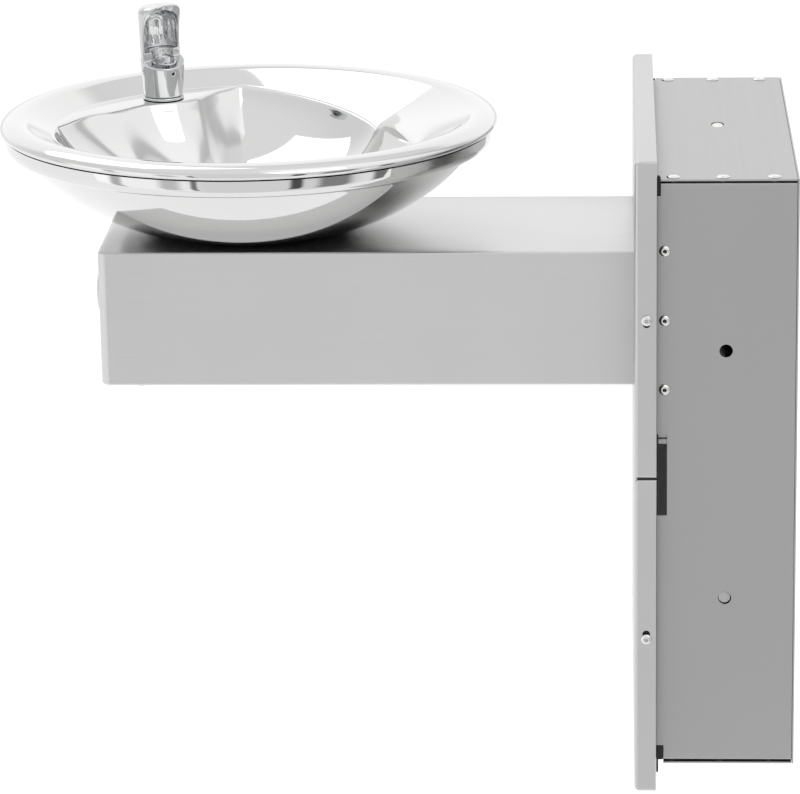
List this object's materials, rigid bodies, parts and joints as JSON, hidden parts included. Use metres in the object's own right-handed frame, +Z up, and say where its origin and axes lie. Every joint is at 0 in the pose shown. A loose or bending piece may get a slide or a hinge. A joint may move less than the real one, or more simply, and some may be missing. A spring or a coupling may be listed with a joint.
{
  "type": "drinking fountain",
  "caption": "Wall-mounted drinking fountain with a round polished basin on a sheet-metal arm, a hooded bubbler and a shallow box recessed in the wall.",
  "frame": {"origin": "middle of the wall box's flat back, where it lies against the framing inside the wall", "axes": "+Z up, +Y into the wall, -Y towards the person drinking, +X to the left of a person facing the wall"},
  "size_m": [0.3872, 0.5961, 0.5387],
  "materials": {
    "brushed_stainless": "horizontal brushed satin",
    "polished_stainless": "mirror polished",
    "galvanised_sheet": "galvanised sheet",
    "chrome": "bright chrome plate",
    "zinc_fastener": "bright zinc plate",
    "brass": "machined brass",
    "black_rubber": "matt rubber",
    "white_plastic": "moulded plastic"
  },
  "bodies": {
    "fountain": {"upper_panel": "brushed_stainless", "lower_panel": "brushed_stainless", "arm_shell": "brushed_stainless", "arm_bottom_cover": "brushed_stainless", "basin": "polished_stainless", "bowl_shell": "polished_stainless", "box_left_side": "galvanised_sheet", "box_right_side": "galvanised_sheet", "box_top": "galvanised_sheet", "box_bottom": "galvanised_sheet", "box_back": "galvanised_sheet", "arm_mounting_plate": "galvanised_sheet", "panel_rail_left": "galvanised_sheet", "panel_rail_right": "galvanised_sheet", "arm_flange": "galvanised_sheet", "bowl_support_ring": "galvanised_sheet", "bubbler": "chrome", "bubbler_base_ring": "chrome", "drain_body": "chrome", "drain_strainer": "chrome", "waste_slip_nut": "chrome", "waste_tube": "chrome", "trap_inlet_nut": "chrome", "trap": "chrome", "trap_outlet_nut": "chrome", "waste_outlet": "chrome", "button_bezel": "chrome", "stop_valve": "chrome", "lower_supply_tube": "chrome", "upper_supply_tube": "chrome", "bubbler_tube": "chrome", "panel_screw_lower_left": "zinc_fastener", "panel_screw_lower_right": "zinc_fastener", "panel_screw_upper_left": "zinc_fastener", "panel_screw_upper_right": "zinc_fastener", "side_rivet_left_1": "zinc_fastener", "side_rivet_left_2": "zinc_fastener", "side_rivet_left_3": "zinc_fastener", "side_rivet_right_1": "zinc_fastener", "side_rivet_right_2": "zinc_fastener", "side_rivet_right_3": "zinc_fastener", "arm_cover_screw_1": "zinc_fastener", "arm_cover_screw_2": "zinc_fastener", "arm_bolt_1": "zinc_fastener", "arm_bolt_2": "zinc_fastener", "arm_bolt_3": "zinc_fastener", "arm_bolt_4": "zinc_fastener", "strainer_screw": "zinc_fastener", "return_spring": "zinc_fastener", "bubbler_locknut": "brass", "drain_locknut": "brass", "bezel_locknut": "brass", "valve_body": "brass", "drain_gasket": "black_rubber", "supply_strainer": "white_plastic"},
    "button": {"push_button": "chrome"},
    "plunger": {"valve_plunger": "brass"},
    "flow_adjuster": {"flow_screw": "brass"},
    "stop_handle": {"stop_valve_handle": "chrome"}
  },
  "joints": [
    {"name": "button_slide", "type": "slide", "parent": "fountain", "child": "button", "axis": [0, 1, 0], "range_m": [0, 0.005], "stiffness_N_per_m": 600, "springref_m": -0.01, "deforming": ["return_spring"]},
    {"name": "plunger_slide", "type": "slide", "parent": "fountain", "child": "plunger", "axis": [0, 1, 0], "range_m": [0, 0.005]},
    {"name": "flow_screw_turn", "type": "hinge", "parent": "fountain", "child": "flow_adjuster", "pos_m": [0, -0.4605, 0.079], "axis": [0, 0, -1], "range_deg": [0, 270]},
    {"name": "stop_handle_turn", "type": "hinge", "parent": "fountain", "child": "stop_handle", "pos_m": [-0.06, -0.065, -0.11], "axis": [0, 1, 0], "range_deg": [0, 90]}
  ],
  "couplings": [
    {"joint": "plunger_slide", "follows": "button_slide", "ratio": 1}
  ]
}
